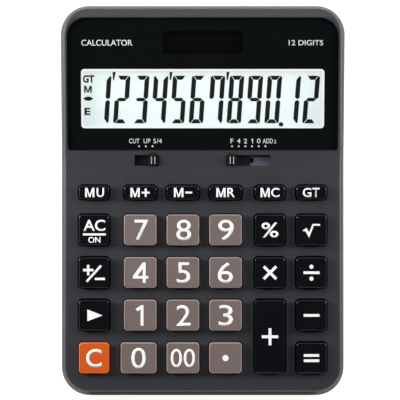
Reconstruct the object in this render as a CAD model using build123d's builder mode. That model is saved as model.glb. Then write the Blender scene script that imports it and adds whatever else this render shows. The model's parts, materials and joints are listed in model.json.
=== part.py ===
"""Desk calculator: a wedge-shaped two-part case, a tilted display, 29 push keys and two slide switches.

The whole has +Z up and +Y to the rear, with the origin under the middle of the case, on the desk.
Nearly everything is built on the deck plane, which is the key surface and slopes up to the rear.
There x is to the right, s runs up the slope and h is the height above the deck.
On the display plane, t runs up the display from its front edge, and depths are measured down into it.
"""

from build123d import *
from math import cos, sin, tan, radians
import os

os.makedirs("parts", exist_ok=True)

# ---------------------------------------------------------------- case, in mm and degrees
overall_width = 129.0
overall_height = 33.2
deck_slope = 4.4  # of the key surface above the desk
display_tilt = 7.5  # of the display above the key surface
deck_y = -0.084  # Y of the deck plane's origin, so that the case is centred

rim_front, rim_rear = -88.95, 88.15  # s of the outermost rim
rim_corner = 13.0
rim_thickness = 1.0
front_trim, rear_trim = 0.7, 0.25  # extra width of the rim's front and rear
rim_gap = 0.45  # parting groove between the rim and the top case
rim_depth = 5.0  # from the top surface down to the rim
lip_depth = 1.6  # how far the top case drops inside the rim

wall = 1.8
deck_thickness = 2.0
bottom_wall = 2.6
floor_thickness = 2.0
waist_h = -7.2  # below this height the lower case leans in
lean = 12.0
lean_height = 20.0
foot_drop = 0.8  # gap between the desk and the floor of the case

crease_s = 15.6  # rear end of the flat deck
band_end = (20.9, 0.3)  # s and h where the band of switches ends
display_s, display_h = 22.8, 1.05  # front edge of the display lens
ledge = 0.9  # strip of case in front of the lens
rear_facet, rear_drop = 3.7, 0.9  # the sloping strip behind the lens
edge_radius, rim_edge, base_edge = 1.2, 0.4, 1.0

# ---------------------------------------------------------------- display
lens_size = (122.7, 60.0)
lens_thickness, film_thickness = 1.6, 0.1
lens_front_corner, lens_rear_corner = 1.6, 8.6
lens_gap, lens_edge = 0.12, 0.15
display_wall = 1.9  # case wall behind the film
lcd_t, lcd_window = 23.4, (110.2, 26.9)
solar_t, solar_window = 48.7, (36.2, 10.3)
window_corner, window_margin = 1.6, 0.6
lcd_size, lcd_thickness, lcd_centre_t = (112.6, 34.9), 2.0, 21.95
reflector_thickness = 0.2
holder_wall, shelf_thickness = 1.2, 0.9
connector_t, connector_size = 6.7, (104.0, 2.2)
display_board_depth = 8.0
display_board_t, display_board_size = (4.6, 47.0), 104.0
display_screws_at = [(-46, 44.2), (46, 44.2)]
solar_size, solar_thickness = (40.0, 13.6), 1.4
ribbon_width, ribbon_thickness = 24.0, 0.25

# ---------------------------------------------------------------- keys
key_top = 2.6
key_draft = 3.0
key_clearance = 0.4
key_corner, memory_corner = 1.5, 1.7
key_edge = 0.45
dish_radius, dish_depth = 90.0, 0.24
aperture_edge = 0.35
skirt_h = -3.0  # underside of the keycaps
cap_wall, cap_roof = 1.1, 1.3
flange_top, flange_reach = -2.25, 0.8
dome_top, mat_top, mat_bottom = -3.3, -5.4, -6.2
dome_gap = 0.05
board_thickness = 1.2
dome_radius, memory_dome_radius, dome_draft, dome_wall, dome_hollow = 4.0, 2.8, 24.0, 0.9, 1.5
stem_radius, memory_stem_radius = 1.9, 1.3
mat_corner, mat_hole_gap = 1.5, 0.4
board_bottom = mat_bottom - board_thickness

key_pitch = 19.35
memory_s, first_s = 3.7, -13.3
left_x, times_x, right_x = -49.3, 30.5, 49.3
digit_x = [-28.35, -9.0, 10.35]
digit_width, function_width, zero_width = 14.6, 13.5, 16.1
key_depth, memory_depth = 13.8, 6.2

row_s = [memory_s] + [first_s - key_pitch * row for row in range(4)]
columns = [left_x, *digit_x, times_x, right_x]
widths = [function_width] + [digit_width] * 3 + [function_width] * 2
key_names = [
    ["markup", "memory_plus", "memory_minus", "memory_recall", "memory_clear", "grand_total"],
    ["all_clear", "7", "8", "9", "percent", "root"],
    ["sign", "4", "5", "6", "multiply", "divide"],
    ["backspace", "1", "2", "3", "plus", "minus"],
    ["clear", "0", "00", "point", None, "equals"],
]
keys = {}  # centre x, centre s, width and depth of each key's top
for names, s in zip(key_names, row_s):
    for key_name, x, width in zip(names, columns, widths):
        if key_name:
            keys[key_name] = (x, s, width, memory_depth if s == memory_s else key_depth)
keys["plus"] = (times_x, row_s[3] - key_pitch / 2, function_width, key_depth + key_pitch)
keys["0"] = (digit_x[0] - (zero_width - digit_width) / 2, row_s[4], zero_width, key_depth)

# ---------------------------------------------------------------- slide switches
slot_s, slot_height, slot_corner = 18.3, 4.9, 0.5
knob_width, knob_height, knob_top = 4.5, 4.3, 1.3
ridge_pitch, ridge_width, ridge_height = 1.5, 0.6, 0.45
tail_size, tail_top, tail_thickness = (16.6, 6.6), -1.85, 0.8
pocket_h, pocket_gap = -1.6, 0.5
guide_top, guide_thickness, guide_size = -2.8, 0.8, (96.0, 9.4)
leg_size, leg_bottom = (2.4, 1.4), -5.0
leg_offset = -6.8  # from the middle of the knob, so that the leg's way in the guide stays under the tail
leg_gap = 0.25
wiper_size, wiper_thickness = (6.4, 2.6), 0.25
contact_radius = 0.5
position_pitch = 3.04
switches = {  # centre x and width of the slot, x of the knob at rest, its travel along X
    "rounding": (-25.4, 11.2, -22.5, -2 * position_pitch),
    "decimal": (20.85, 20.1, 13.25, 5 * position_pitch),
}

# ---------------------------------------------------------------- board, fasteners, feet and battery
mat_size = ((-53.4, 53.4), (-78.0, 8.0))  # x and s limits
board_front, board_step, board_rear = -78.2, 7.9, 25.0
board_wide, board_narrow = 55.0, 50.0
case_screw_rows = [(51.6, -82.5, -6.6), (57.0, 11.5, -8.6), (51.0, 75.5, -6.0)]  # x, s and height of joint
case_screws_at = [(side_x * x, s, h) for x, s, h in case_screw_rows for side_x in (-1, 1)]
screw_radius, screw_head_radius, screw_head, screw_reach = 1.3, 2.5, 1.4, 4.4
boss_radius, post_radius, well_radius, post_web = 2.9, 4.2, 2.9, 1.6
board_screws_at = [(x, s) for x in (-39.1, 20.7) for s in (-42.3, -3.0)]
board_screws_at += [(0.68, -61.7), (-45.5, 11.6), (46.0, 11.6)]
small_boss, small_screw, small_head, small_head_height, small_screw_reach = 1.5, 0.75, 1.6, 1.0, 2.6
guide_stake_x, stake_boss, stake_radius = [-40.5, -4.5, 42.5], 2.0, 1.0
feet_at = [(-50, -70), (50, -70), (-40, 74), (40, 74)]
foot_radius, foot_thickness = 5.5, 1.8
cell_at, cell_radius, cell_height = (-34.0, 40.0), 5.8, 5.4
cell_gap, cell_ring, ring_height, ring_notch = 0.2, 1.2, 4.2, 4.0
contact_thickness, lead_radius = 0.3, 0.5
rib_length, rib_thickness, rib_height, rib_pitch, rib_count = 92.0, 1.2, 1.2, 28.0, 3
screw_hole_radius = 1.45
chip_at, chip_radius, chip_height = (0.0, -22.0), 6.5, 1.6
components = [  # x, s, length, width and height of each small part on the board's underside
    (-20, 2, 7, 4.5, 3.0), (14, -8, 3.2, 1.6, 0.7), (18, -14, 3.2, 1.6, 0.7), (22, -8, 3.2, 1.6, 0.7),
    (-14, -34, 3.2, 1.6, 0.7), (8, 10, 5, 5, 2.2), (-30, -12, 3.2, 1.6, 0.7), (30, 4, 3.2, 1.6, 0.7),
]

# ---------------------------------------------------------------- planes
slope, tilt = radians(deck_slope), radians(display_tilt)
case_inset = rim_thickness + rim_gap
case_front = rim_front + case_inset + front_trim
case_rear = rim_rear - case_inset - rear_trim
crest_s = case_rear - rear_facet
recess_depth = lens_thickness + film_thickness
wall_depth = recess_depth + display_wall  # underside of the wall behind the display
above, deep = 30.0, 60.0  # more than the case's height over and under the deck
reach = 80.0  # more than half the case's width


def display_line(s, depth=0.0):
    """Height of a line at this depth under the display's surface."""
    return display_h - depth / cos(tilt) + (s - display_s) * tan(tilt)


deck_z = overall_height - crest_s * sin(slope) - display_line(crest_s) * cos(slope)
deck = Plane(origin=(0, deck_y, deck_z), x_dir=(1, 0, 0), z_dir=(0, -sin(slope), cos(slope)))
side = Plane(origin=deck.origin, x_dir=deck.y_dir, z_dir=(1, 0, 0))
deck_axis = Axis(deck.origin, deck.z_dir)
display = Plane(
    origin=deck.from_local_coords((0, display_s, display_h)),
    x_dir=(1, 0, 0),
    z_dir=(0, -sin(slope + tilt), cos(slope + tilt)),
)


def save(piece, name):
    piece.part.label = name
    export_step(piece.part, f"parts/{name}.step")


def outline(inset, trim=False):
    """The rounded outline of the case, this far inside its outermost rim."""
    front = rim_front + inset + (front_trim if trim else 0)
    rear = rim_rear - inset - (rear_trim if trim else 0)
    with Locations((0, (front + rear) / 2)):
        RectangleRounded(overall_width - 2 * inset, rear - front, rim_corner - inset)


def side_slice(points, mode):
    """Extrude a side profile, given as s and h, across the whole width."""
    with BuildSketch(side) as profile:
        with BuildLine():
            Polyline(*points, close=True)
        make_face()
    extrude(profile.sketch, amount=reach, both=True, mode=mode)


def below(drop):
    """The side profile of all that is this far under the case's top surface."""
    bend = (display_s - 4.0, -drop)
    end = (reach + 20, -drop + (reach + 20 - bend[0]) * tan(tilt))
    return [(-reach - 20, -deep), (-reach - 20, -drop), bend, end, (reach + 20, -deep)]


def block(plane, centre, size, thickness, corner=0.0, mode=Mode.ADD):
    """A flat block standing on this plane."""
    with BuildSketch(plane) as face:
        with Locations(centre):
            if corner:
                RectangleRounded(*size, corner)
            else:
                Rectangle(*size)
    extrude(face.sketch, amount=thickness, mode=mode)


def pins(plane, places, radius, length, mode=Mode.ADD):
    """Round pins or holes standing on this plane."""
    with BuildSketch(plane) as discs:
        with Locations(*places):
            Circle(radius)
    extrude(discs.sketch, amount=length, mode=mode)


def at_display(depth):
    return display.offset(-depth)


# ---------------------------------------------------------------- case
def lens_shape(grow=0.0):
    """Nearly square corners at the display's front edge, large ones at its rear edge."""
    half, far = lens_size[0] / 2 + grow, lens_size[1] + grow
    front, rear = lens_front_corner + grow, lens_rear_corner + grow
    with BuildLine() as edge:
        FilletPolyline(
            (half, -grow), (half, far), (-half, far), (-half, -grow),
            radius=[front, rear, rear, front], close=True,
        )
    make_face(edge.line)


def top_edges(piece):
    """The edges all round the top of the case, without the folds that cross it."""
    tops = piece.faces().filter_by(lambda face: face.normal_at().dot(deck.z_dir) > 0.7)
    around = [edge for edge in tops.edges() if edge.length > 0.1]
    inside = (case_front + 1, case_rear - 1)
    folds = [edge for edge in around if inside[0] < deck.to_local_coords(edge.center()).Y < inside[1]
             and abs(edge.center().X) < 1]
    return ShapeList(edge for edge in around if edge not in folds)


with BuildPart() as top_hollow:
    bend_s = display_s + (wall_depth / cos(tilt) - display_h - deck_thickness) / tan(tilt)
    side_slice(
        [(-reach - 20, -deep), (-reach - 20, -deck_thickness), (bend_s, -deck_thickness),
         (reach + 20, display_line(reach + 20, wall_depth)), (reach + 20, -deep)],
        Mode.ADD,
    )
    with BuildSketch(deck.offset(-deep)):
        outline(case_inset + wall, trim=True)
    extrude(amount=deep + above, mode=Mode.INTERSECT)

with BuildPart() as top_case:
    side_slice(
        [(case_rear, -deep), (case_front, -deep), (case_front, 0), (crease_s, 0), band_end,
         (display_s - ledge, display_line(display_s - ledge)), (crest_s, display_line(crest_s)),
         (case_rear, display_line(crest_s) - rear_drop)],
        Mode.ADD,
    )
    with BuildSketch(deck.offset(-deep)):
        outline(case_inset, trim=True)
    extrude(amount=deep + above, mode=Mode.INTERSECT)
    fillet(top_edges(top_case), edge_radius)
    add(top_hollow.part, mode=Mode.SUBTRACT)
    side_slice(below(rim_depth + lip_depth), Mode.SUBTRACT)

    # recess of the display, with the two windows through its floor
    with BuildSketch(at_display(recess_depth)):
        lens_shape(lens_gap)
    extrude(amount=above, mode=Mode.SUBTRACT)
    for centre_t, window in ((lcd_t, lcd_window), (solar_t, solar_window)):
        opening = [length + 2 * window_margin for length in window]
        block(at_display(wall_depth), (0, centre_t), opening, above, window_corner, Mode.SUBTRACT)

    # apertures of the keys, with a rounded edge
    for x, s, width, depth in keys.values():
        grow = 2 * (key_top * tan(radians(key_draft)) + key_clearance)
        corner = (memory_corner if s == memory_s else key_corner) + grow / 2
        block(deck.offset(-above), (x, s), (width + grow, depth + grow), 2 * above, corner, Mode.SUBTRACT)
    deck_face = top_case.faces().filter_by(lambda face: face.normal_at().dot(deck.z_dir) > 0.9999)
    deck_face = deck_face.sort_by(SortBy.AREA)[-1]
    fillet(deck_face.inner_wires().edges(), aperture_edge)

    # slots of the switches, with a pocket under each for the tail of its knob
    for slot_x, slot_width, rest_x, travel in switches.values():
        block(deck.offset(-above), (slot_x, slot_s), (slot_width, slot_height), 2 * above, slot_corner,
              Mode.SUBTRACT)
        swept = (tail_size[0] + abs(travel) + 2 * pocket_gap, tail_size[1] + 2 * pocket_gap)
        block(deck.offset(guide_top), (rest_x + travel / 2, slot_s), swept, pocket_h - guide_top,
              mode=Mode.SUBTRACT)

    # bosses for the case screws, the board's screws and the switch guide
    for x, s, joint_h in case_screws_at:
        roof_h = 0 if s < display_s else display_line(s) - recess_depth
        pins(deck.offset(joint_h), [(x, s)], boss_radius, roof_h - 1.0 - joint_h)
        pins(deck.offset(joint_h), [(x, s)], screw_radius, screw_reach + 0.1, Mode.SUBTRACT)
    pins(deck.offset(mat_bottom), board_screws_at, small_boss, -mat_bottom - 1.0)
    pins(deck.offset(mat_bottom), board_screws_at, small_screw, small_screw_reach, Mode.SUBTRACT)
    pins(at_display(display_board_depth), display_screws_at, small_boss, display_board_depth - wall_depth + 0.5)
    pins(at_display(display_board_depth), display_screws_at, small_screw, small_screw_reach, Mode.SUBTRACT)
    stakes = [(x, slot_s) for x in guide_stake_x]
    pins(deck.offset(guide_top), stakes, stake_boss, -guide_top - 1.0)
    pins(deck.offset(guide_top - guide_thickness - 0.4), stakes, stake_radius, guide_thickness + 0.4)
save(top_case, "top_case")

floor_plane = Plane.XY.offset(foot_drop + floor_thickness)
base_plane = Plane.XY.offset(foot_drop)


def lower_shell(inset, plane):
    """The solid inside this inset: upright above the waist, leaning in below it, down to this plane."""
    with BuildPart() as shell:
        with BuildSketch(deck.offset(waist_h)) as section:
            outline(inset)
        extrude(section.sketch, amount=above)
        extrude(section.sketch, amount=-lean_height, taper=lean)
        split(bisect_by=plane, keep=Keep.TOP)
    return shell.part


lower_solid = lower_shell(0, base_plane)
lower_hollow = lower_shell(bottom_wall, floor_plane)

with BuildPart() as bottom_case:
    add(lower_solid)
    side_slice(below(rim_depth), Mode.INTERSECT)
    fillet(top_edges(bottom_case), rim_edge)
    fillet(bottom_case.faces().sort_by(Axis.Z)[0].outer_wire().edges(), base_edge)
    add(lower_hollow, mode=Mode.SUBTRACT)

    # the rim stands up round the ledge that carries the top case
    with BuildPart(mode=Mode.PRIVATE) as rim_space:
        with BuildSketch(deck.offset(-deep)) as inside:
            outline(rim_thickness, trim=True)
        extrude(inside.sketch, amount=deep + above)
        side_slice(below(rim_depth + lip_depth), Mode.SUBTRACT)
    add(rim_space.part, mode=Mode.SUBTRACT)

    # posts for the case screws, each with a well for the screw's head
    with BuildPart(mode=Mode.PRIVATE) as posts:
        for x, s, joint_h in case_screws_at:
            pins(deck.offset(joint_h), [(x, s)], post_radius, -above)
        split(bisect_by=base_plane, keep=Keep.TOP)
    add(posts.part)
    for x, s, joint_h in case_screws_at:
        pins(deck.offset(joint_h), [(x, s)], screw_hole_radius, -above, Mode.SUBTRACT)
        pins(deck.offset(joint_h - post_web), [(x, s)], well_radius, -above, Mode.SUBTRACT)

    # recesses of the feet, and the broken ring that holds the cell
    pins(base_plane, feet_at, foot_radius, foot_thickness - foot_drop, Mode.SUBTRACT)
    with BuildSketch(floor_plane):
        with Locations(cell_at):
            Circle(cell_radius + cell_gap + cell_ring)
            Circle(cell_radius + cell_gap, mode=Mode.SUBTRACT)
            Rectangle(4 * cell_radius, ring_notch, mode=Mode.SUBTRACT)
    extrude(amount=ring_height)
    with BuildSketch(floor_plane):
        with GridLocations(0, rib_pitch, 1, rib_count):
            Rectangle(rib_length, rib_thickness)
    extrude(amount=rib_height)
save(bottom_case, "bottom_case")

with BuildPart() as case_screws:
    for x, s, joint_h in case_screws_at:
        seat = deck.offset(joint_h - post_web)
        pins(seat, [(x, s)], screw_radius, post_web + screw_reach)
        pins(seat, [(x, s)], screw_head_radius, -screw_head)
        for turn in (0, 90):
            with BuildSketch(seat.offset(-screw_head)) as cross:
                with Locations((x, s)):
                    Rectangle(screw_head_radius * 1.2, 0.6, rotation=turn)
            extrude(cross.sketch, amount=screw_head / 2, mode=Mode.SUBTRACT)
save(case_screws, "case_screws")

with BuildPart() as rubber_feet:
    pins(Plane.XY, feet_at, foot_radius, foot_thickness)
    chamfer(rubber_feet.edges().group_by(Axis.Z)[0], 0.4)
save(rubber_feet, "rubber_feet")

# ---------------------------------------------------------------- display
with BuildPart() as display_lens:
    with BuildSketch(at_display(lens_thickness)):
        lens_shape()
    extrude(amount=lens_thickness)
    chamfer(display_lens.faces().sort_by(deck_axis)[-1].edges(), lens_edge)
save(display_lens, "display_lens")

with BuildPart() as display_film:
    with BuildSketch(at_display(recess_depth)):
        lens_shape()
        for centre_t, window in ((lcd_t, lcd_window), (solar_t, solar_window)):
            with Locations((0, centre_t)):
                RectangleRounded(*window, window_corner, mode=Mode.SUBTRACT)
    extrude(amount=film_thickness)
save(display_film, "display_film")

glass_depth = wall_depth + lcd_thickness
with BuildPart() as lcd_glass:
    block(at_display(glass_depth), (0, lcd_centre_t), lcd_size, lcd_thickness)
save(lcd_glass, "lcd_glass")

reflector_depth = glass_depth + reflector_thickness
connector_rear = connector_t + connector_size[1] / 2
glass_rear = lcd_centre_t + lcd_size[1] / 2
reflector_front = connector_rear + 1.0
with BuildPart() as lcd_reflector:
    block(at_display(reflector_depth), (0, (reflector_front + glass_rear) / 2),
          (lcd_size[0], glass_rear - reflector_front), reflector_thickness)
save(lcd_reflector, "lcd_reflector")

with BuildPart() as lcd_connector:
    block(at_display(display_board_depth), (0, connector_t), connector_size, display_board_depth - glass_depth)
save(lcd_connector, "lcd_connector")

with BuildPart() as lcd_holder:
    inner = [length + 0.2 for length in lcd_size]
    outer = [length + 2 * holder_wall for length in inner]
    block(at_display(display_board_depth), (0, lcd_centre_t), outer, display_board_depth - wall_depth)
    block(at_display(reflector_depth), (0, lcd_centre_t), inner, above, mode=Mode.SUBTRACT)
    block(at_display(display_board_depth), (0, lcd_centre_t), inner,
          display_board_depth - reflector_depth - shelf_thickness, mode=Mode.SUBTRACT)
    block(at_display(display_board_depth), (0, connector_t), [length + 0.4 for length in connector_size],
          above, mode=Mode.SUBTRACT)
save(lcd_holder, "lcd_holder")

solar_depth = wall_depth + solar_thickness
with BuildPart() as solar_cell:
    block(at_display(solar_depth), (0, solar_t), solar_size, solar_thickness)
save(solar_cell, "solar_cell")

with BuildPart() as solar_leads:
    pins(at_display(display_board_depth), [(-14, 44), (14, 44)], lead_radius, display_board_depth - solar_depth)
save(solar_leads, "solar_leads")

board_front_t, board_rear_t = display_board_t
with BuildPart() as display_board:
    block(at_display(display_board_depth + board_thickness), (0, (board_front_t + board_rear_t) / 2),
          (display_board_size, board_rear_t - board_front_t), board_thickness)
    pins(at_display(above), display_screws_at, small_screw + 0.1, 2 * above, Mode.SUBTRACT)
save(display_board, "display_board")

with BuildPart() as display_screws:
    under = at_display(display_board_depth + board_thickness)
    pins(under, display_screws_at, small_screw, board_thickness + small_screw_reach - 0.1)
    pins(under, display_screws_at, small_head, -small_head_height)
save(display_screws, "display_screws")

under_display = display_board_depth + board_thickness
ribbon_top = [(20.5, board_bottom), (25.3, board_bottom), (26.5, board_bottom - 1.0), (28.1, board_bottom - 1.0)]
ribbon_top += [(s, display_line(s, under_display)) for s in (29.8, 34.0)]
with BuildPart() as display_ribbon:
    with BuildSketch(side):
        with BuildLine():
            Polyline(*ribbon_top, *[(s, h - ribbon_thickness) for s, h in reversed(ribbon_top)], close=True)
        make_face()
    extrude(amount=ribbon_width / 2, both=True)
save(display_ribbon, "display_ribbon")

# ---------------------------------------------------------------- boards
with BuildPart() as main_board:
    with BuildSketch(deck.offset(board_bottom)):
        with Locations((0, (board_front + board_step) / 2)):
            Rectangle(2 * board_wide, board_step - board_front)
        with Locations((0, (board_step + board_rear) / 2)):
            Rectangle(2 * board_narrow, board_rear - board_step)
        with Locations(*board_screws_at):
            Circle(small_screw + 0.1, mode=Mode.SUBTRACT)
    extrude(amount=board_thickness)
save(main_board, "main_board")

with BuildPart() as board_screws:
    pins(deck.offset(board_bottom), board_screws_at, small_screw, board_thickness + small_screw_reach - 0.1)
    pins(deck.offset(board_bottom), board_screws_at, small_head, -small_head_height)
save(board_screws, "board_screws")

with BuildPart() as board_chip:
    with BuildSketch(deck.offset(board_bottom)):
        with Locations(chip_at):
            Circle(chip_radius)
    extrude(amount=-chip_height, taper=35)
save(board_chip, "board_chip")

with BuildPart() as board_components:
    for x, s, length, width, height in components:
        block(deck.offset(board_bottom - height), (x, s), (length, width), height)
save(board_components, "board_components")


def dome_places(x, s, width, depth):
    """One dome in the middle of a key, or two under a long one."""
    offsets = [-depth / 4, depth / 4] if depth > 2 * width else [0]
    return [(x, s + offset) for offset in offsets]


with BuildPart() as keypad_mat:
    (mat_left, mat_right), (mat_front, mat_rear) = mat_size
    with BuildSketch(deck.offset(mat_bottom)):
        with Locations(((mat_left + mat_right) / 2, (mat_front + mat_rear) / 2)):
            RectangleRounded(mat_right - mat_left, mat_rear - mat_front, mat_corner)
        with Locations(*[place for place in board_screws_at if place[1] < mat_rear]):
            Circle(small_boss + mat_hole_gap, mode=Mode.SUBTRACT)
    extrude(amount=mat_top - mat_bottom)
    for x, s, width, depth in keys.values():
        base_radius = dome_radius if depth > memory_depth else memory_dome_radius
        for place in dome_places(x, s, width, depth):
            with BuildSketch(deck.offset(mat_top)) as dome:
                with Locations(place):
                    Circle(base_radius)
            extrude(dome.sketch, amount=dome_top - mat_top, taper=dome_draft)
            pins(deck.offset(mat_bottom), [place], base_radius - dome_wall, dome_hollow, Mode.SUBTRACT)
save(keypad_mat, "keypad_mat")

# ---------------------------------------------------------------- keys
for key_name, (x, s, width, depth) in keys.items():
    height = key_top - skirt_h
    flare = height * tan(radians(key_draft))
    corner = memory_corner if depth == memory_depth else key_corner
    size = (width + 2 * flare, depth + 2 * flare)
    with BuildPart() as key:
        with BuildSketch(deck.offset(skirt_h)):
            with Locations((x, s)):
                RectangleRounded(*size, corner + flare)
        extrude(amount=height, taper=key_draft)
        with BuildPart(Plane(origin=deck.from_local_coords((x, s, key_top + dish_radius - dish_depth)),
                             x_dir=deck.z_dir, z_dir=deck.y_dir), mode=Mode.PRIVATE) as dish:
            Cylinder(dish_radius, 2 * depth)
        add(dish.part, mode=Mode.SUBTRACT)
        roof = key.faces().sort_by(deck_axis)[-1]
        fillet(roof.edges(), key_edge)
        block(deck.offset(skirt_h), (x, s), [length + 2 * flange_reach for length in size],
              flange_top - skirt_h, corner + flange_reach)
        block(deck.offset(skirt_h), (x, s), [length - 2 * cap_wall for length in size],
              key_top - cap_roof - skirt_h, corner / 2, Mode.SUBTRACT)
        stem_h = dome_top + dome_gap
        stem = stem_radius if depth > memory_depth else memory_stem_radius
        pins(deck.offset(stem_h), dome_places(x, s, width, depth), stem, key_top - cap_roof - stem_h + 0.1)
    save(key, f"key_{key_name}")

# ---------------------------------------------------------------- slide switches
with BuildPart() as switch_guide:
    block(deck.offset(guide_top - guide_thickness), (0, slot_s), guide_size, guide_thickness, 1.0)
    for slot_x, slot_width, rest_x, travel in switches.values():
        way = (abs(travel) + leg_size[0] + 2 * leg_gap, leg_size[1] + 2 * leg_gap)
        block(deck.offset(-above), (rest_x + leg_offset + travel / 2, slot_s), way, 2 * above,
              mode=Mode.SUBTRACT)
    pins(deck.offset(-above), [(x, slot_s) for x in guide_stake_x], stake_radius, 2 * above, Mode.SUBTRACT)
save(switch_guide, "switch_guide")

for switch_name, (slot_x, slot_width, rest_x, travel) in switches.items():
    tail_bottom = tail_top - tail_thickness
    with BuildPart() as knob:
        block(deck.offset(tail_bottom), (rest_x, slot_s), tail_size, tail_thickness, 0.6)
        block(deck.offset(tail_top), (rest_x, slot_s), (knob_width, knob_height), knob_top - tail_top, 0.4)
        for offset in (-ridge_pitch / 2, ridge_pitch / 2):
            block(deck.offset(knob_top), (rest_x + offset, slot_s), (ridge_width, knob_height - 0.5), ridge_height)
        block(deck.offset(leg_bottom), (rest_x + leg_offset, slot_s), leg_size, tail_bottom - leg_bottom)
    save(knob, f"{switch_name}_knob")

    with BuildPart() as wiper:
        wiper_x = rest_x + leg_offset
        block(deck.offset(leg_bottom - wiper_thickness), (wiper_x, slot_s), wiper_size, wiper_thickness)
        ends = [(wiper_x + side_x * wiper_size[0] / 3, slot_s) for side_x in (-1, 1)]
        contact_top = leg_bottom - wiper_thickness
        pins(deck.offset(contact_top), ends, contact_radius, mat_bottom + dome_gap - contact_top)
    save(wiper, f"{switch_name}_wiper")

# ---------------------------------------------------------------- battery
floor_z = foot_drop + floor_thickness
cell_x, cell_y = cell_at
with BuildPart() as button_cell:
    pins(Plane.XY.offset(floor_z + contact_thickness), [cell_at], cell_radius, cell_height)
    chamfer(button_cell.edges().filter_by(GeomType.CIRCLE), 0.4)
save(button_cell, "button_cell")

strip_width, tab_x = 3.0, cell_radius + 3.6
with BuildPart() as battery_contact_minus:
    block(Plane.XY.offset(floor_z), (cell_x + tab_x / 2 - 1, cell_y), (tab_x + 2, strip_width), contact_thickness)
    block(Plane.XY.offset(floor_z), (cell_x + tab_x, cell_y), (contact_thickness, strip_width), 5.0)
save(battery_contact_minus, "battery_contact_minus")

cell_top = floor_z + contact_thickness + cell_height
with BuildPart() as battery_contact_plus:
    block(Plane.XY.offset(cell_top), (cell_x - tab_x / 2 + 1, cell_y), (tab_x + 2, strip_width), contact_thickness)
    block(Plane.XY.offset(floor_z), (cell_x - tab_x, cell_y), (contact_thickness, strip_width),
          cell_top + contact_thickness - floor_z)
save(battery_contact_plus, "battery_contact_plus")

lead_end_y = 21.5
with BuildPart() as battery_leads:
    for x, start_z in ((cell_x - tab_x, cell_top + contact_thickness), (cell_x + tab_x, floor_z + 5.0)):
        z = start_z + lead_radius
        end_z = deck.from_local_coords((0, lead_end_y, board_bottom)).Z - lead_radius
        with BuildLine() as route:
            FilletPolyline((x, cell_y + 1, z), (x, lead_end_y + 4, z), (x, lead_end_y, end_z), radius=3.0)
        with BuildSketch(Plane(origin=(x, cell_y + 1, z), z_dir=(0, -1, 0))):
            Circle(lead_radius)
        sweep(path=route.wires()[0])
save(battery_leads, "battery_leads")
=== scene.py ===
"""Looks of the desk calculator: finishes for its parts, the legends on its keys, its display and prints.

Two planes carry almost everything: the deck, which is the key surface, and the display panel.
A place on the deck is x to the right, s up the slope and h above the model's origin, along the deck's normal.
A place on the display is x to the right, t up the panel from its front edge, and a depth down into it.
"""

import json
from math import cos, pi, radians, sin, tan

import bmesh
import bpy
from mathutils import Matrix, Vector
from mathutils.bvhtree import BVHTree


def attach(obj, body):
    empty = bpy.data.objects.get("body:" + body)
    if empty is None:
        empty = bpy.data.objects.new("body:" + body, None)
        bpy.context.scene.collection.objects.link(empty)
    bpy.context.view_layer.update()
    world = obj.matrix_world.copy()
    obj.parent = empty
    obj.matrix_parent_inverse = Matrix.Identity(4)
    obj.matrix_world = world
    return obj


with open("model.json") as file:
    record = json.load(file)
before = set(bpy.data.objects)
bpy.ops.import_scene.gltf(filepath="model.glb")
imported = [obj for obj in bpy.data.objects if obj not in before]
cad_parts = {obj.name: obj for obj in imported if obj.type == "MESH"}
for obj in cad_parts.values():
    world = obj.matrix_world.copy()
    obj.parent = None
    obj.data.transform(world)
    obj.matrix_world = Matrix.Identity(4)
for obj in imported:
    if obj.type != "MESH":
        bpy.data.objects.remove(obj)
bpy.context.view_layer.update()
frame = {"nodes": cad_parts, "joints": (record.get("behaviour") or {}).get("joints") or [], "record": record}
mm = 0.001

# ---------------------------------------------------------------- planes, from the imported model
down = Vector(next(joint["axis"] for joint in frame["joints"] if joint["name"] == "press_7"))
deck_up = -down.normalized()
right = Vector((1, 0, 0))


def plane_matrix(origin, normal):
    """Coordinates whose X is to the right and whose Z is this normal."""
    columns = Matrix((right, normal.cross(right), normal)).transposed()
    return Matrix.Translation(origin) @ columns.to_4x4()


def broad_normal(node):
    """The direction of the widest upward face of a flat node."""
    upward = [face for face in frame["nodes"][node].data.polygons if face.normal.z > 0.5]
    return max(upward, key=lambda face: face.area).normal.copy()


deck = plane_matrix(Vector(), deck_up)
display_up = broad_normal("display_lens")
lens_points = [vertex.co for vertex in frame["nodes"]["display_lens"].data.vertices]
lens_height = max(point.dot(display_up) for point in lens_points)
lens_front = min(point.dot(display_up.cross(right)) for point in lens_points)
display = plane_matrix(display_up * lens_height + display_up.cross(right) * lens_front, display_up)


def seen_from(node, plane):
    """The box of a node in a plane's own coordinates."""
    to_plane = plane.inverted()
    points = [to_plane @ vertex.co for vertex in frame["nodes"][node].data.vertices]
    low = Vector([min(point[axis] for point in points) for axis in range(3)])
    high = Vector([max(point[axis] for point in points) for axis in range(3)])
    return low, high


# ---------------------------------------------------------------- shader groups
def new_group(name, inputs, outputs):
    """A shader node group with these sockets, given as (name, kind, value)."""
    group = bpy.data.node_groups.new(name, "ShaderNodeTree")
    for socket_name, kind, value in inputs:
        socket = group.interface.new_socket(socket_name, in_out="INPUT", socket_type=kind)
        socket.default_value = value
    for socket_name, kind in outputs:
        group.interface.new_socket(socket_name, in_out="OUTPUT", socket_type=kind)
    return group, group.nodes.new("NodeGroupInput"), group.nodes.new("NodeGroupOutput")


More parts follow.
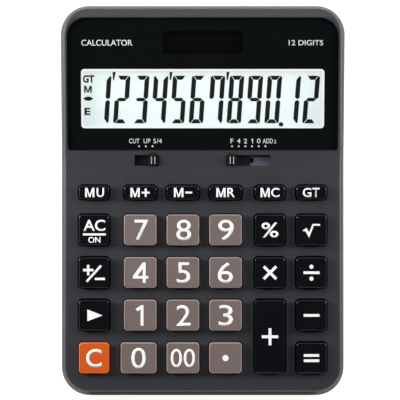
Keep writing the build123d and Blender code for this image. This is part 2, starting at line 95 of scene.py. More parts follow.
def moulded_grain():
    """Fine grain of a moulded surface, with a slow drift of its colour and gloss."""
    group, given, result = new_group(
        "moulded_grain",
        [("Colour", "NodeSocketColor", (0.5, 0.5, 0.5, 1)), ("Grain Scale", "NodeSocketFloat", 2500),
         ("Drift", "NodeSocketFloat", 0.08), ("Gloss", "NodeSocketFloat", 0.5)],
        [("Colour", "NodeSocketColor"), ("Roughness", "NodeSocketFloat"), ("Height", "NodeSocketFloat")],
    )
    nodes, links = group.nodes, group.links
    place = nodes.new("ShaderNodeTexCoord")
    grain = nodes.new("ShaderNodeTexNoise")
    grain.inputs["Detail"].default_value = 3
    cloud = nodes.new("ShaderNodeTexNoise")
    cloud.inputs["Scale"].default_value = 45
    cloud.inputs["Detail"].default_value = 4
    for texture in (grain, cloud):
        links.new(place.outputs["Object"], texture.inputs["Vector"])
    links.new(given.outputs["Grain Scale"], grain.inputs["Scale"])

    centred = nodes.new("ShaderNodeMath")
    centred.operation = "SUBTRACT"
    centred.inputs[1].default_value = 0.5
    links.new(cloud.outputs["Fac"], centred.inputs[0])
    swing = nodes.new("ShaderNodeMath")
    swing.operation = "MULTIPLY_ADD"
    swing.inputs[2].default_value = 1.0
    links.new(centred.outputs[0], swing.inputs[0])
    links.new(given.outputs["Drift"], swing.inputs[1])

    tint = nodes.new("ShaderNodeVectorMath")
    tint.operation = "SCALE"
    links.new(given.outputs["Colour"], tint.inputs[0])
    links.new(swing.outputs[0], tint.inputs["Scale"])
    gloss = nodes.new("ShaderNodeMath")
    gloss.operation = "MULTIPLY"
    links.new(given.outputs["Gloss"], gloss.inputs[0])
    links.new(swing.outputs[0], gloss.inputs[1])
    links.new(tint.outputs[0], result.inputs["Colour"])
    links.new(gloss.outputs[0], result.inputs["Roughness"])
    links.new(grain.outputs["Fac"], result.inputs["Height"])
    return group


def light_dust():
    """A mask of sparse fine specks."""
    group, given, result = new_group(
        "light_dust",
        [("Speck Scale", "NodeSocketFloat", 900), ("Amount", "NodeSocketFloat", 0.04)],
        [("Mask", "NodeSocketFloat")],
    )
    nodes, links = group.nodes, group.links
    place = nodes.new("ShaderNodeTexCoord")
    specks = nodes.new("ShaderNodeTexVoronoi")
    links.new(place.outputs["Object"], specks.inputs["Vector"])
    links.new(given.outputs["Speck Scale"], specks.inputs["Scale"])
    small = nodes.new("ShaderNodeMath")
    small.operation = "LESS_THAN"
    links.new(specks.outputs["Distance"], small.inputs[0])
    links.new(given.outputs["Amount"], small.inputs[1])
    faint = nodes.new("ShaderNodeMath")
    faint.operation = "MULTIPLY"
    faint.inputs[1].default_value = 0.12
    links.new(small.outputs[0], faint.inputs[0])
    links.new(faint.outputs[0], result.inputs["Mask"])
    return group


def painted_edge_highlight():
    """A mask of the edges and sides that turn away from the deck, in uneven patches, where a painted
    highlight lightens the rounded edges as if they caught the light.
    """
    group, given, result = new_group(
        "painted_edge_highlight", [("Amount", "NodeSocketFloat", 0.5)], [("Mask", "NodeSocketFloat")])
    nodes, links = group.nodes, group.links
    place = nodes.new("ShaderNodeTexCoord")
    facing = nodes.new("ShaderNodeVectorMath")
    facing.operation = "DOT_PRODUCT"
    facing.inputs[1].default_value = deck_up
    links.new(place.outputs["Normal"], facing.inputs[0])
    turned_away = nodes.new("ShaderNodeMapRange")
    turned_away.inputs["From Min"].default_value = 0.985
    turned_away.inputs["From Max"].default_value = 0.9
    links.new(facing.outputs["Value"], turned_away.inputs["Value"])
    patchy = nodes.new("ShaderNodeTexNoise")
    patchy.inputs["Scale"].default_value = 260
    links.new(place.outputs["Object"], patchy.inputs["Vector"])
    uneven = nodes.new("ShaderNodeMapRange")
    uneven.inputs["To Min"].default_value = 0.6
    uneven.inputs["To Max"].default_value = 1.2
    links.new(patchy.outputs["Fac"], uneven.inputs["Value"])
    strength = nodes.new("ShaderNodeMath")
    strength.operation = "MULTIPLY"
    links.new(turned_away.outputs["Result"], strength.inputs[0])
    links.new(given.outputs["Amount"], strength.inputs[1])
    total = nodes.new("ShaderNodeMath")
    total.operation = "MULTIPLY"
    links.new(strength.outputs[0], total.inputs[0])
    links.new(uneven.outputs["Result"], total.inputs[1])
    links.new(total.outputs[0], result.inputs["Mask"])
    return group


grain_group = moulded_grain()
edge_highlight_group = painted_edge_highlight()
dust_group = light_dust()
# how strongly the painted highlight shows on edges that turn away from the deck
edge_highlight_strength = 0.7
dust_colour = (0.5, 0.5, 0.5)
grain_depth = 0.05 * mm


# ---------------------------------------------------------------- materials
def overlay(nodes, links, group, values, below, colour):
    """Lay a colour over another one, by the mask that a shader group puts out."""
    masked = nodes.new("ShaderNodeGroup")
    masked.node_tree = group
    for socket, value in values.items():
        masked.inputs[socket].default_value = value
    mix = nodes.new("ShaderNodeMix")
    mix.data_type = "RGBA"
    mix.inputs["B"].default_value = (*colour, 1)
    links.new(masked.outputs["Mask"], mix.inputs["Factor"])
    links.new(below, mix.inputs["A"])
    return mix.outputs["Result"]


def finish(name, colour, gloss=0.5, grain=2500, bump=0.05, drift=0.1, dust=0.0, edge=None, **shader):
    """A moulded or printed finish. Other words are inputs of the shader, such as Metallic. Edge is the colour
    of a painted highlight on the edges that turn away from the deck.
    """
    material = bpy.data.materials.new(name)
    material.use_nodes = True
    nodes, links = material.node_tree.nodes, material.node_tree.links
    principled = nodes["Principled BSDF"]
    surface = nodes.new("ShaderNodeGroup")
    surface.node_tree = grain_group
    surface.inputs["Colour"].default_value = (*colour, 1)
    surface.inputs["Grain Scale"].default_value = grain
    surface.inputs["Drift"].default_value = drift
    surface.inputs["Gloss"].default_value = gloss
    links.new(surface.outputs["Roughness"], principled.inputs["Roughness"])
    colour_socket = surface.outputs["Colour"]
    # a painted highlight on the edges and sides that turn away from the deck
    if edge:
        colour_socket = overlay(nodes, links, edge_highlight_group, {"Amount": edge_highlight_strength}, colour_socket, edge)
    if dust:
        colour_socket = overlay(nodes, links, dust_group, {"Amount": dust}, colour_socket, dust_colour)
    links.new(colour_socket, principled.inputs["Base Color"])
    if bump:
        raised = nodes.new("ShaderNodeBump")
        raised.inputs["Strength"].default_value = bump
        raised.inputs["Distance"].default_value = grain_depth
        links.new(surface.outputs["Height"], raised.inputs["Height"])
        links.new(raised.outputs["Normal"], principled.inputs["Normal"])
    for socket, value in shader.items():
        principled.inputs[socket.replace("_", " ")].default_value = value
    return material


finishes = {
    "case_charcoal": finish("case_charcoal", (0.043, 0.044, 0.053), 0.46, 2200, 0.35, 0.12, 0.03),
    "rim_taupe": finish("rim_taupe", (0.3, 0.266, 0.256), 0.42, 2200, 0.3, 0.12),
    "lens_clear": finish("lens_clear", (0.006, 0.01, 0.01), 0.05, 400, 0.0, 0.2, Alpha=0.05, IOR=1.49),
    "mask_black": finish("mask_black", (0.0042, 0.0062, 0.0062), 0.12, 900, 0.0, 0.15),
    "lcd_pane": finish("lcd_pane", (0.05, 0.06, 0.06), 0.1, 900, 0.0, 0.1, Alpha=0.015),
    # the display's reflector glows: painted light that brightens the deep window and hides the shadow of its
    # edge
    "reflector_white": finish(
        "reflector_white", (0.50, 0.55, 0.545), 0.6, 1800, 0.1, 0.03,
        Emission_Color=(0.82, 0.9, 0.895, 1), Emission_Strength=0.62),
    "holder_white": finish("holder_white", (0.75, 0.75, 0.74), 0.5),
    "connector_rubber": finish("connector_rubber", (0.55, 0.2, 0.15), 0.7),
    "solar_dark": finish("solar_dark", (0.0035, 0.002, 0.0025), 0.16, 700, 0.0, 0.3),
    # the edge colours of the taupe and orange keys are painted highlights on their rounded edges
    "key_taupe": finish("key_taupe", (0.235, 0.180, 0.167), 0.36, 3000, 0.12, 0.1, edge=(0.52, 0.44, 0.41)),
    "key_black": finish("key_black", (0.005, 0.0055, 0.0075), 0.17, 1500, 0.03, 0.2, Coat_Weight=0.4),
    "key_orange": finish(
        "key_orange", (0.84, 0.135, 0.018), 0.24, 1500, 0.03, 0.08,
        edge=(1.0, 0.26, 0.08), Coat_Weight=0.3),
    "knob_black": finish("knob_black", (0.012, 0.012, 0.014), 0.38, 2600, 0.2, 0.15),
    "guide_grey": finish("guide_grey", (0.15, 0.158, 0.21), 0.5, 2600, 0.2, 0.1),
    "spring_bronze": finish("spring_bronze", (0.72, 0.46, 0.24), 0.3, 3000, 0.1, 0.1, Metallic=1.0),
    "silicone_grey": finish("silicone_grey", (0.42, 0.42, 0.41), 0.6, 1200, 0.1, 0.1),
    "board_green": finish("board_green", (0.02, 0.11, 0.045), 0.35, 1000, 0.1, 0.2),
    "epoxy_black": finish("epoxy_black", (0.01, 0.01, 0.01), 0.2, 800, 0.1, 0.2),
    "component_tan": finish("component_tan", (0.35, 0.27, 0.16), 0.45),
    "ribbon_tan": finish("ribbon_tan", (0.45, 0.22, 0.05), 0.3),
    "screw_steel": finish("screw_steel", (0.56, 0.56, 0.57), 0.33, 3000, 0.2, 0.2, Metallic=1.0),
    "cell_steel": finish("cell_steel", (0.68, 0.68, 0.68), 0.18, 3000, 0.1, 0.1, Metallic=1.0),
    "contact_nickel": finish("contact_nickel", (0.62, 0.6, 0.56), 0.25, 3000, 0.1, 0.1, Metallic=1.0),
    "lead_red": finish("lead_red", (0.42, 0.03, 0.02), 0.45),
    "foot_rubber": finish("foot_rubber", (0.02, 0.02, 0.022), 0.75, 1500, 0.4, 0.2),
}
white = (1, 1, 1, 1)
# the white inks of the legends, the panel's words and dots and the display's border glow a little: painted
# light that brightens the print
legend_ink_and_glow = finish(
    "legend_ink_and_glow", (0.93, 0.93, 0.92), 0.4, 3000, 0.05, 0.03, Emission_Color=white, Emission_Strength=0.25)
panel_ink_and_glow = finish(
    "panel_ink_and_glow", (0.85, 0.87, 0.87), 0.5, 3000, 0.0, 0.03, Emission_Color=white, Emission_Strength=0.1)
border_ink_and_glow = finish(
    "border_ink_and_glow", (0.92, 0.93, 0.93), 0.5, 3000, 0.0, 0.02, Emission_Color=white, Emission_Strength=0.3)
# the light grey of the painted highlights on the knobs' grip ribs
rib_highlight_paint = finish("rib_highlight_paint", (0.5, 0.5, 0.51), 0.35, 2600, 0.2, 0.3)
segment_ink = finish("segment_ink", (0.005, 0.006, 0.006), 0.5, 900, 0.0, 0.1)

slots = {row["node"]: row["material_slot"] for row in frame["record"]["subparts"]}
for node, thing in frame["nodes"].items():
    thing.data.materials.clear()
    thing.data.materials.append(finishes[slots[node]])


# ---------------------------------------------------------------- flat marks, drawn in millimetres
def bar(width, height, x=0.0, y=0.0):
    """A rectangle round this centre."""
    left, right = x - width / 2, x + width / 2
    low, high = y - height / 2, y + height / 2
    return [(left, low), (right, low), (right, high), (left, high)]


def disc(radius, x=0.0, y=0.0, sides=28):
    """A circle of straight sides round this centre."""
    turns = [2 * pi * side / sides for side in range(sides)]
    return [(x + radius * cos(turn), y + radius * sin(turn)) for turn in turns]


def cross(width, height, thick, x=0.0, y=0.0):
    """A plus sign with upright arms."""
    half_w, half_h, t = width / 2, height / 2, thick / 2
    arm = [(half_w, -t), (half_w, t), (t, t), (t, half_h), (-t, half_h), (-t, t)]
    return [(x + px, y + py) for px, py in arm + [(-px, -py) for px, py in arm]]


def turned(outline, degrees):
    """An outline turned about the origin."""
    c, s = cos(radians(degrees)), sin(radians(degrees))
    return [(px * c - py * s, px * s + py * c) for px, py in outline]


def ribbon(points, widths):
    """The outline of a bent stroke: straight runs of these widths, mitred where they meet."""
    points = [Vector(point) for point in points]
    runs = [(end - start).normalized() for start, end in zip(points, points[1:])]
    normals = [Vector((-run.y, run.x)) for run in runs]
    edge = [normals[0] * widths[0] / 2]
    for before, after, width, next_width in zip(normals, normals[1:], widths, widths[1:]):
        edge.append(Matrix((before, after)).inverted() @ Vector((width / 2, next_width / 2)))
    edge.append(normals[-1] * widths[-1] / 2)
    left = [tuple(point + off) for point, off in zip(points, edge)]
    right_side = [tuple(point - off) for point, off in zip(points, edge)]
    return right_side + left[::-1]


def letter_m(width, height, thick, x=0.0, y=0.0):
    """A bold M, whose inner strokes meet on the baseline."""
    half_w, half_h = width / 2, height / 2
    shoulder, foot = thick * 1.25, thick * 0.38
    steepness = (height - 1.6 * thick) / (half_w - thick - foot)
    dip = half_h - steepness * (half_w - shoulder)
    right_half = [(half_w - shoulder, half_h), (half_w, half_h), (half_w, -half_h),
                  (half_w - thick, -half_h), (half_w - thick, half_h - 1.6 * thick), (foot, -half_h)]
    left_half = [(-px, py) for px, py in reversed(right_half)]
    return [(x + px, y + py) for px, py in [(0, dip)] + right_half + left_half]


def figure_one(width, height, thick):
    """A 1 with a slanted flag."""
    half_w, half_h = width / 2, height / 2
    return [(half_w - thick, -half_h), (half_w, -half_h), (half_w, half_h), (half_w - 0.75 * thick, half_h),
            (-half_w, half_h - 1.35 * thick), (0.7 * thick - half_w, half_h - 2.15 * thick),
            (half_w - thick, half_h - 1.45 * thick)]


def figure_four(width, height, thick):
    """A 4 with a closed triangle, as a stem, a stub, a bar and a slanted stroke that share their edges."""
    left, right, foot, top = -width / 2, width / 2, -height / 2, height / 2
    stem_right = right - 0.95 * thick
    stem_left = stem_right - thick
    bar_low, bar_high = foot + 0.215 * height, foot + 0.215 * height + 0.9 * thick
    inner_top = (stem_left, top - 2.2 * thick)
    inner_left = (left + 1.5 * thick, bar_high)
    stem = [(stem_left, foot), (stem_right, foot), (stem_right, bar_low), (stem_right, bar_high),
            (stem_right, top), (stem_left, top), inner_top, (stem_left, bar_high), (stem_left, bar_low)]
    stub = [(stem_right, bar_low), (right, bar_low), (right, bar_high), (stem_right, bar_high)]
    level = [(left, bar_low), (stem_left, bar_low), (stem_left, bar_high), inner_left, (left, bar_high)]
    slant = [(left, bar_high), inner_left, inner_top, (stem_left, top)]
    return [stem, stub, level, slant]


def outlines_mesh(name, outlines):
    """A flat mesh with one face for each outline."""
    mesh = bpy.data.meshes.new(name)
    points = [(x * mm, y * mm, 0) for outline in outlines for x, y in outline]
    faces, first = [], 0
    for outline in outlines:
        faces.append(range(first, first + len(outline)))
        first += len(outline)
    mesh.from_pydata(points, [], faces)
    return mesh


def lettering(text, width, height, x=0.0, y=0.0, weight=0.0):
    """A flat mesh of plain letters that fills this width and height, round this centre."""
    curve = bpy.data.curves.new("lettering", "FONT")
    curve.body = text
    curve.offset = weight
    curve.resolution_u = 6
    writer = bpy.data.objects.new("lettering", curve)
    mesh = bpy.data.meshes.new_from_object(writer)
    bpy.data.objects.remove(writer)
    xs = [vertex.co.x for vertex in mesh.vertices]
    ys = [vertex.co.y for vertex in mesh.vertices]
    scale_x, scale_y = width / (max(xs) - min(xs)), height / (max(ys) - min(ys))
    middle = Vector(((max(xs) + min(xs)) / 2, (max(ys) + min(ys)) / 2, 0))
    fit = Matrix.Diagonal((scale_x * mm, scale_y * mm, 1, 1)) @ Matrix.Translation(-middle)
    mesh.transform(Matrix.Translation((x * mm, y * mm, 0)) @ fit)
    return mesh


def joined(name, meshes):
    """One mesh from several, with the doubled points merged."""
    build = bmesh.new()
    for mesh in meshes:
        build.from_mesh(mesh)
    bmesh.ops.remove_doubles(build, verts=build.verts, dist=1e-7)
    made = bpy.data.meshes.new(name)
    build.to_mesh(made)
    build.free()
    return made


def thicken(mesh, thickness, direction):
    """Turn a flat mesh into a thin closed plate that stands along this direction."""
    build = bmesh.new()
    build.from_mesh(mesh)
    raised = bmesh.ops.extrude_face_region(build, geom=build.faces[:])["geom"]
    moved = [item for item in raised if isinstance(item, bmesh.types.BMVert)]
    bmesh.ops.translate(build, verts=moved, vec=direction.normalized() * thickness)
    bmesh.ops.recalc_face_normals(build, faces=build.faces)
    build.to_mesh(mesh)
    build.free()
    return mesh


def add_piece(name, mesh, material, body="root"):
    """Put a finished mesh into the scene, riding on a body."""
    mesh.materials.clear()
    mesh.materials.append(material)
    piece = bpy.data.objects.new(name, mesh)
    bpy.context.scene.collection.objects.link(piece)
    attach(piece, body)
    return piece


# ---------------------------------------------------------------- legends of the keys
ink_thickness = 0.03 * mm
ink_lift = 0.012 * mm

# each figure's width and its shift to the right of the key's centre
figures = {"7": (6.2, 0.6), "8": (6.6, 0.4), "9": (6.9, 0.2),
           "4": (7.0, 0.2), "5": (6.1, 0.3), "6": (6.8, -0.1),
           "1": (3.6, -0.3), "2": (6.4, 0.3), "3": (6.4, 0.1), "0": (6.5, 0.0)}
digit_height, digit_stroke, digit_weight = 9.3, 1.3, 0.001
small_zero_size, small_zero_x = (5.1, 8.3), 2.95

bold, bold_stroke = 0.016, 0.85
memory_height = 4.2


def memory_m(x, width=4.2):
    """The M that starts a memory key's word."""
    return letter_m(width, memory_height, bold_stroke, x)


# a memory key's word: drawn outlines, and font letters given as (letter, width, x)
memory_words = {
    "markup": [memory_m(-1.9), ("U", 3.3, 2.9)],
    "memory_plus": [memory_m(-2.3), cross(3.6, 3.8, bold_stroke, 2.5, -0.05)],
    "memory_minus": [memory_m(-1.9, 4.3), bar(3.1, bold_stroke, 2.65)],
    "memory_recall": [memory_m(-2.1), ("R", 3.4, 2.5)],
    "memory_clear": [memory_m(-2.2), ("C", 3.8, 2.4)],
    "grand_total": [("G", 3.9, -2.0), ("T", 3.3, 2.0)],
}

# a function key's letter, with its width and height
letter_keys = {"clear": ("C", 7.0, 8.2), "percent": ("%", 7.6, 6.8)}
letter_weight = 0.01

sign_stroke = 1.2
symbols = {
    "root": [ribbon([(-3.7, -0.35), (-2.55, 0.3), (-1.05, -2.35), (0.75, 2.35), (3.9, 2.35)],
                    [0.75, 1.15, 0.8, 0.8])],
    "multiply": [turned(cross(8.0, 8.0, 1.25), 45)],
    "divide": [bar(7.3, sign_stroke), disc(0.93, 0, 2.7), disc(0.93, 0, -2.7)],
    "sign": [cross(4.7, 4.7, 1.1, -2.6, 1.2), ribbon([(-3.3, -4.0), (3.2, 3.2)], [1.0]),
             bar(4.6, 1.05, 2.7, -2.8)],
    "backspace": [[(-3.0, -2.65), (3.9, 0), (-3.0, 2.65)]],
    "plus": [cross(7.5, 7.7, 1.3)],
    "minus": [bar(7.2, sign_stroke)],
    "equals": [bar(7.0, sign_stroke, 0, 1.2), bar(7.0, sign_stroke, 0, -1.2)],
    "point": [disc(1.4)],
}


def figure_mark(figure):
    """The flat mesh of one figure."""
    width, shift = figures[figure]
    if figure == "1":
        outlines = [figure_one(width, digit_height, digit_stroke)]
    elif figure == "4":
        outlines = figure_four(width, digit_height, digit_stroke)
    else:
        return lettering(figure, width, digit_height, shift, weight=digit_weight)
    return outlines_mesh(figure, [[(x + shift, y) for x, y in outline] for outline in outlines])


def memory_marks(key):
    """The flat meshes of a memory key's word."""
    letters = [mark for mark in memory_words[key] if isinstance(mark, tuple)]
    outlines = [mark for mark in memory_words[key] if isinstance(mark, list)]
    return [lettering(letter, width, memory_height, x, weight=bold) for letter, width, x in letters] + [
        outlines_mesh(key, outlines)]


def all_clear_marks():
    """AC over a line, with ON below it."""
    return [lettering("AC", 9.9, 5.1, 0.2, 2.1, bold), outlines_mesh("bar", [bar(10.4, 0.95, 0.2, -2.0)]),
            lettering("ON", 5.5, 2.7, 0.2, -4.5, bold)]


def key_marks(key):
    """The flat meshes printed on a key, round its centre."""
    if key in figures:
        return [figure_mark(key)]
    if key in memory_words:
        return memory_marks(key)
    if key in letter_keys:
        return [lettering(*letter_keys[key], weight=letter_weight)]
    if key == "00":
        return [lettering("0", *small_zero_size, x, weight=digit_weight)
                for x in (-small_zero_x, small_zero_x)]
    if key == "all_clear":
        return all_clear_marks()
    return [outlines_mesh(key, symbols[key])]


def drape(mesh, node, direction):
    """Lower a mesh that floats over a node onto that node's surface."""
    skin = frame["nodes"][node].data
    surface = BVHTree.FromPolygons([v.co for v in skin.vertices], [p.vertices for p in skin.polygons])
    for vertex in mesh.vertices:
        hit = surface.ray_cast(vertex.co, -direction)[0]
        vertex.co = hit + direction * ink_lift
    return mesh


for node in frame["nodes"]:
    if not node.startswith("key_"):
        continue
    key = node.removeprefix("key_")
    low, high = seen_from(node, deck)
    over_key = deck @ Matrix.Translation(((low.x + high.x) / 2, (low.y + high.y) / 2, high.z + mm))
    legend = joined(f"legend_{key}", key_marks(key))
    legend.transform(over_key)
    drape(legend, node, deck_up)
    thicken(legend, ink_thickness, deck_up)
    add_piece(f"legend_{key}", legend, legend_ink_and_glow, node)


# ---------------------------------------------------------------- display
def on_display(mesh, x, t, depth):
    """Move a flat mesh from its own centre to this place in the display, in millimetres."""
    mesh.transform(display @ Matrix.Translation((x * mm, t * mm, -depth * mm)))
    return mesh


glass_bottom = -seen_from("lcd_glass", display)[0].z / mm
film_top = -seen_from("display_film", display)[1].z / mm
segment_depth = glass_bottom - 0.06  # just above the glass's lower face
print_depth = film_top - 0.02  # just above the film
border_depth = film_top + 0.09  # just below the film's top
lcd_window, window_radius = (110.2, 26.9), 1.6
window_t = 23.4
shown_t = 22.7  # the middle of the digits, a little in front of the window's

cell_pitch, first_cell_x = 8.62, -45.46
cell_size, segment_width, segment_gap = (6.55, 21.7), 2.08, 0.32
level_thickness, middle_thickness = 1.85, 1.6
lean_right = tan(radians(4.0))
# the digits that a thousands mark or the point follows, counted from 0
thousands_after, point_after = (0, 3, 6), 9
thousands_mark = [(0.2, 1.7), (1.65, 1.7), (0.85, -2.0), (0.35, -2.0)]
point_radius = 1.05
lit_segments = {"0": "abcdef", "1": "bc", "2": "abged", "3": "abgcd", "4": "fgbc", "5": "afgcd",
                "6": "afgedc", "7": "abcf", "8": "abcdefg", "9": "abcdfg"}


def leaning(outline, x):
    """An outline that leans to the right like the digits, moved to this x."""
    return [(px + py * lean_right + x, py) for px, py in outline]


def segment(letter):
    """One of the seven segments of a digit, with mitred ends."""
    half_w, half_h = cell_size[0] / 2, cell_size[1] / 2
    w = segment_width
    tip = half_w - 0.3 * w  # where an upright segment reaches the top or the foot of the digit
    mitre = 0.7  # how far a mitre moves inwards for each millimetre along the segment
    if letter == "g":
        end, rise = half_w - 0.5 * w, middle_thickness / 2
        flat = end - 1.0
        return [(-end, 0), (-flat, rise), (flat, rise), (end, 0), (flat, -rise), (-flat, -rise)]
    if letter in "ad":
        up = 1 if letter == "a" else -1
        outer = tip - segment_gap
        inner = outer - mitre * level_thickness
        y, low = up * half_h, up * (half_h - level_thickness)
        return [(-outer, y), (outer, y), (inner, low), (-inner, low)]
    side = 1 if letter in "bc" else -1
    up = 1 if letter in "bf" else -1
    shape = [(half_w, 0.4 * w), (half_w, half_h - 0.35 * w), (tip, half_h),
             (half_w - w, half_h - 0.7 * w / mitre), (half_w - w, 0.5 * w),
             (half_w - 0.5 * w, segment_gap / 2)]
    return [(side * x, up * y) for x, y in shape]


def lit_digits(number):
    """The outlines of the digits, filled from the left, with marks for the thousands and the point."""
    outlines = []
    for place, digit in enumerate(number):
        x = first_cell_x + cell_pitch * place
        outlines += [leaning(segment(letter), x) for letter in lit_segments[digit]]
    top = cell_size[1] / 2
    for place in thousands_after:
        x = first_cell_x + cell_pitch * (place + 0.5)
        outlines.append([(x + px, top + py) for px, py in thousands_mark])
    outlines.append(disc(point_radius, first_cell_x + cell_pitch * (point_after + 0.5) - 0.75, -top - 0.5))
    return outlines


def leaf(width, height, x, y, steps=10):
    """A pointed oval."""
    upper = [(x - width / 2 + width * step / steps, y + height / 2 * sin(pi * step / steps))
             for step in range(steps + 1)]
    lower = [(px, 2 * y - py) for px, py in reversed(upper[1:-1])]
    return upper + lower


indicator_x = -52.1
shown = [
    outlines_mesh("digits", lit_digits("123456789012")),
    lettering("GT", 5.2, 3.5, indicator_x + 0.2, 9.4, 0.04),
    outlines_mesh("M", [letter_m(3.5, 3.1, 0.75, indicator_x - 0.1, 4.7)]),
    outlines_mesh("minus", [leaf(4.7, 2.0, indicator_x, 0.4)]),
    lettering("E", 2.7, 3.3, indicator_x - 0.4, -5.4, 0.04),
]
segments = on_display(joined("lcd_segments", shown), 0, shown_t, segment_depth)
add_piece("lcd_segments", thicken(segments, 0.05 * mm, display_up), segment_ink)


def rounded(width, height, radius, steps=8):
    """A rounded rectangle, from its rear right corner anticlockwise."""
    points = []
    for turn, (side_x, side_y) in enumerate(((1, 1), (-1, 1), (-1, -1), (1, -1))):
        cx, cy = side_x * (width / 2 - radius), side_y * (height / 2 - radius)
        angles = [pi / 2 * (turn + step / steps) for step in range(steps + 1)]
        points += [(cx + radius * cos(angle), cy + radius * sin(angle)) for angle in angles]
    return points


def band(outer, inner):
    """The faces between two outlines with as many points each."""
    count = len(outer)
    return [[outer[i], outer[(i + 1) % count], inner[(i + 1) % count], inner[i]] for i in range(count)]


border_width, inner_radius = 0.85, 0.9
inner_window = [length - 2 * border_width for length in lcd_window]
border = band(rounded(*lcd_window, window_radius), rounded(*inner_window, inner_radius))
frame_print = on_display(joined("lcd_border", [outlines_mesh("border", border)]), 0, window_t, border_depth)
add_piece("lcd_border", thicken(frame_print, 0.03 * mm, display_up), border_ink_and_glow)

title_t = 48.7
word_t, word_height = 4.15, 2.1
dot_t, position_pitch = 1.75, 3.04
rounding_x, decimal_x = -28.9, 13.3  # the first dot of each switch's scale

# each word with its width, height, x, t and weight
panel_text = (
    ("CALCULATOR", 23.0, 2.7, -43.3, title_t, 0.008),
    ("12 DIGITS", 15.5, 2.4, 46.6, title_t, 0.004),
    ("CUT", 4.7, word_height, -31.1, word_t),
    ("UP", 3.1, word_height, -25.3, word_t),
    ("5/4", 3.9, word_height, -20.5, word_t),
    ("ADD", 4.6, word_height, 29.6, word_t),
    ("2", 1.1, 1.5, 32.9, word_t - 0.3),
)
# the decimal switch's other marks, with their widths and positions
decimal_marks = (("F", 1.3, 0), ("4", 1.6, 1), ("2", 1.5, 2), ("0", 1.6, 4))
small_one, one_position = figure_one(0.95, word_height, 0.36), 3


def decimal_place(position):
    """The x of a position of the decimal switch."""
    return decimal_x + position_pitch * position


words = [lettering(*row) for row in panel_text]
words += [lettering(mark, width, word_height, decimal_place(position), word_t)
          for mark, width, position in decimal_marks]
words.append(outlines_mesh("one", [[(decimal_place(one_position) + x, word_t + y) for x, y in small_one]]))
prints = on_display(joined("panel_words", words), 0, 0, print_depth)
add_piece("panel_words", thicken(prints, 0.015 * mm, display_up), panel_ink_and_glow)


# ---------------------------------------------------------------- scale dots of the switches
def dot_row_tree():
    """A row of flat dots, as a geometry node tree."""
    tree = bpy.data.node_groups.new("dot_row", "GeometryNodeTree")
    inputs = [
        ("Dots", "NodeSocketInt", 3), ("Pitch", "NodeSocketFloat", 3 * mm),
        ("Radius", "NodeSocketFloat", 0.4 * mm), ("Thickness", "NodeSocketFloat", 0.02 * mm),
        ("Ink", "NodeSocketMaterial", None),
    ]
    for name, kind, value in inputs:
        socket = tree.interface.new_socket(name, in_out="INPUT", socket_type=kind)
        if value is not None:
            socket.default_value = value
    tree.interface.new_socket("Geometry", in_out="OUTPUT", socket_type="NodeSocketGeometry")
    nodes, links = tree.nodes, tree.links
    given, result = nodes.new("NodeGroupInput"), nodes.new("NodeGroupOutput")
    line = nodes.new("GeometryNodeMeshLine")
    step = nodes.new("ShaderNodeCombineXYZ")
    dot = nodes.new("GeometryNodeMeshCylinder")
    dot.inputs["Vertices"].default_value = 20
    spread = nodes.new("GeometryNodeInstanceOnPoints")
    real = nodes.new("GeometryNodeRealizeInstances")
    inked = nodes.new("GeometryNodeSetMaterial")
    links.new(given.outputs["Dots"], line.inputs["Count"])
    links.new(given.outputs["Pitch"], step.inputs["X"])
    links.new(step.outputs[0], line.inputs["Offset"])
    links.new(given.outputs["Radius"], dot.inputs["Radius"])
    links.new(given.outputs["Thickness"], dot.inputs["Depth"])
    links.new(line.outputs["Mesh"], spread.inputs["Points"])
    links.new(dot.outputs["Mesh"], spread.inputs["Instance"])
    links.new(spread.outputs["Instances"], real.inputs["Geometry"])
    links.new(real.outputs["Geometry"], inked.inputs["Geometry"])
    links.new(given.outputs["Ink"], inked.inputs["Material"])
    links.new(inked.outputs["Geometry"], result.inputs["Geometry"])
    return tree


def grown(tree, values):
    """The plain mesh that a geometry node tree makes with these inputs."""
    holder = bpy.data.objects.new("grower", bpy.data.meshes.new("grower"))
    bpy.context.scene.collection.objects.link(holder)
    modifier = holder.modifiers.new("grow", "NODES")
    modifier.node_group = tree
    for item in tree.interface.items_tree:
        if item.in_out == "INPUT" and item.name in values:
            modifier[item.identifier] = values[item.name]
    made = bpy.data.meshes.new_from_object(holder.evaluated_get(bpy.context.evaluated_depsgraph_get()))
    bpy.data.objects.remove(holder)
    return made


dot_row = dot_row_tree()
for switch, count, first_x in (("rounding", 3, rounding_x), ("decimal", 6, decimal_x)):
    dots = grown(dot_row, {"Dots": count, "Pitch": position_pitch * mm, "Ink": panel_ink_and_glow})
    on_display(dots, first_x, dot_t, print_depth)
    add_piece(f"{switch}_dots", dots, panel_ink_and_glow)


# ---------------------------------------------------------------- painted highlights on the tops of the knobs' grip ribs
rib_pitch, rib_width, rib_length = 1.5, 0.42, 3.4
for switch in ("rounding", "decimal"):
    low, high = seen_from(f"{switch}_knob", deck)
    ribs = [bar(rib_width, rib_length, side * rib_pitch / 2) for side in (-1, 1)]
    rib_highlights = outlines_mesh(f"{switch}_rib_highlights", ribs)
    rib_highlights.transform(deck @ Matrix.Translation(((low.x + high.x) / 2, (low.y + high.y) / 2, high.z)))
    thicken(rib_highlights, 0.02 * mm, deck_up)
    add_piece(f"{switch}_rib_highlights", rib_highlights, rib_highlight_paint, f"{switch}_switch")


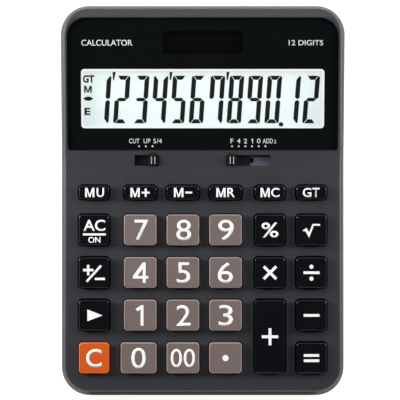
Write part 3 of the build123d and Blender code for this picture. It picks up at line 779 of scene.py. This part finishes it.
# ---------------------------------------------------------------- floor, light and camera
floor_size, floor_drop = 6000, 0.05 * mm
floor_white = finish(
    "floor_white", (0.95, 0.95, 0.95), 0.8, 60, 0.0, 0.01, Emission_Color=white, Emission_Strength=0.75)
floor_mesh = outlines_mesh("floor", [bar(floor_size, floor_size)])
floor_mesh.transform(Matrix.Translation((0, 0, -floor_drop)))
floor_mesh.materials.append(floor_white)
floor = bpy.data.objects.new("floor", floor_mesh)
bpy.context.scene.collection.objects.link(floor)

world = bpy.data.worlds.new("studio")
bpy.context.scene.world = world
world.use_nodes = True
world.node_tree.nodes["Background"].inputs["Color"].default_value = white
world.node_tree.nodes["Background"].inputs["Strength"].default_value = 0.03
bpy.context.scene.view_settings.view_transform = "Standard"


def area_light(name, place, target, size, power):
    """A soft box, in metres and watts, that faces its target."""
    lamp = bpy.data.lights.new(name, "AREA")
    lamp.shape = "RECTANGLE"
    lamp.size, lamp.size_y = size
    lamp.energy = power
    holder = bpy.data.objects.new(name, lamp)
    holder.location = place
    holder.rotation_euler = (Vector(target) - Vector(place)).to_track_quat("-Z", "Y").to_euler()
    bpy.context.scene.collection.objects.link(holder)


area_light("rear_bank", place=(0.02, 0.27, 0.30), target=(0, 0.03, 0), size=(0.6, 0.12), power=0.6)
area_light("left_bank", place=(-0.4, 0.09, 0.18), target=(0, 0.02, 0), size=(0.1, 0.3), power=1.95)
area_light("right_bank", place=(0.42, 0.08, 0.18), target=(0, 0.02, 0), size=(0.1, 0.3), power=1.58)
area_light("front_bank", place=(0, -0.5, 0.2), target=(0, 0, 0.01), size=(0.6, 0.1), power=0.55)

# the camera looks straight down on the deck, a little off the middle of the case
camera_distance, focal_length = 0.888, 172.3
off_middle = Vector((-1.23, 0.7, 0)) * mm
case_low, case_high = seen_from("bottom_case", deck)
case_middle = Vector((0, (case_low.y + case_high.y) / 2, camera_distance))
camera_data = bpy.data.cameras.new("camera")
camera_data.lens = focal_length
camera_data.sensor_width = 36
camera = bpy.data.objects.new("camera", camera_data)
camera.matrix_world = deck @ Matrix.Translation(case_middle + off_middle)
bpy.context.scene.collection.objects.link(camera)
bpy.context.scene.camera = camera
